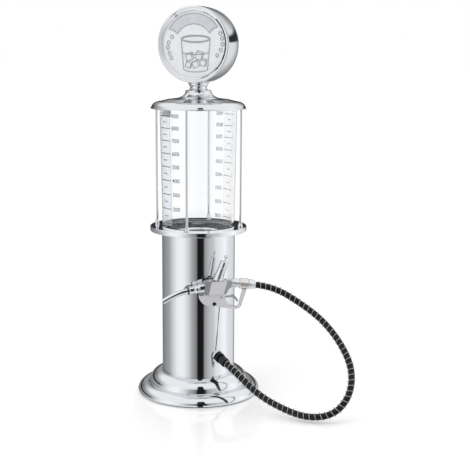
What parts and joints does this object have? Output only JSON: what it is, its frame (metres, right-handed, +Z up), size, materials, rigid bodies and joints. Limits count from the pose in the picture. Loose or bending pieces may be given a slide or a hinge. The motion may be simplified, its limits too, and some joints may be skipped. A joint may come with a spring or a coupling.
{
  "type": "gas pump drink dispenser",
  "caption": "Countertop drink dispenser shaped like a vintage gas pump: round base, column, graduated clear canister, lid with round sign, hose and trigger nozzle.",
  "frame": {"origin": "centre of the underside of the foot pad, on the column's axis, at the surface the object stands on", "axes": "+Z up along the column; the nozzle gun hangs on the -Y side with its spout towards -X and its hose towards +X"},
  "size_m": [0.2528, 0.247, 0.5006],
  "materials": {
    "chrome": "mirror-bright plating",
    "satin_metal": "fine blasted satin",
    "spring_steel": "bright drawn wire",
    "plated_steel": "zinc plated",
    "blackened_steel": "black oxide",
    "cast_iron": "raw casting",
    "brass": "turned brass",
    "clear_plastic": "clear, polished",
    "white_plastic": "gloss white",
    "grey_enamel": "pale grey raised print",
    "lid_plastic": "moulded, satin",
    "black_rubber": "smooth black",
    "silicone": "milky silicone"
  },
  "bodies": {
    "stand": {"base_shell": "chrome", "base_weight": "cast_iron", "base_plate": "plated_steel", "base_screws": "plated_steel", "base_pad": "black_rubber", "column_tube": "chrome", "collar": "chrome", "canister_cup": "chrome", "tie_rods": "plated_steel", "tie_nuts": "plated_steel", "collar_gasket": "silicone", "canister": "clear_plastic", "drain_spigot": "brass", "drain_seal": "silicone", "drain_nut": "plated_steel", "drain_hose": "silicone", "outlet_fitting": "chrome", "outlet_washer": "chrome", "outlet_nut": "brass", "pillar_rod_1": "satin_metal", "pillar_rod_2": "satin_metal", "pillar_rod_3": "satin_metal", "pillar_rod_4": "satin_metal", "pillar_feet": "chrome", "crown_ring": "chrome", "nozzle_hook": "plated_steel", "hook_screws": "plated_steel", "hose_ferrule_outlet": "black_rubber", "hose": "black_rubber", "hose_guard": "spring_steel"},
    "lid": {"lid_dome": "chrome", "lid_liner": "lid_plastic", "lid_neck": "chrome", "lid_stud": "plated_steel", "stud_nuts": "plated_steel", "sign_drum": "chrome", "sign_panel_front": "white_plastic", "sign_bezel_front": "chrome", "sign_badge_front": "grey_enamel", "sign_panel_back": "white_plastic", "sign_bezel_back": "chrome", "sign_badge_back": "grey_enamel"},
    "gun": {"nozzle_body": "satin_metal", "nozzle_cover": "satin_metal", "cover_screws": "satin_metal", "nozzle_guard": "satin_metal", "guard_screw": "blackened_steel", "trigger_pin": "plated_steel", "valve_tower": "chrome", "valve_cap": "chrome", "valve_seal": "black_rubber", "valve_spring": "spring_steel", "spout_collar": "chrome", "spout_o_ring": "black_rubber", "spout_tube": "chrome", "hose_connector": "chrome", "hose_nut": "chrome", "hose_ferrule_gun": "chrome"},
    "trigger": {"trigger": "chrome"},
    "stem": {"valve_stem": "chrome"}
  },
  "joints": [
    {"name": "lid_lift", "type": "slide", "parent": "stand", "child": "lid", "axis": [0, 0, 1], "range_m": [0, 0.06]},
    {"name": "nozzle_lift", "type": "slide", "parent": "stand", "child": "gun", "axis": [0, 0, 1], "range_m": [0, 0.016], "deforming": ["hose", "hose_guard"]},
    {"name": "trigger_squeeze", "type": "hinge", "parent": "gun", "child": "trigger", "pos_m": [0.019, -0.0595, 0.139], "axis": [0, -1, 0], "range_deg": [0, 16], "stiffness_Nm_per_rad": 0.03, "springref_deg": -34.38},
    {"name": "valve_pull", "type": "slide", "parent": "gun", "child": "stem", "axis": [-0.342, 0, -0.9397], "range_m": [0, 0.00279], "deforming": ["valve_spring"]}
  ],
  "couplings": [
    {"joint": "trigger_squeeze", "follows": "valve_pull", "rad_per_m": 100}
  ]
}
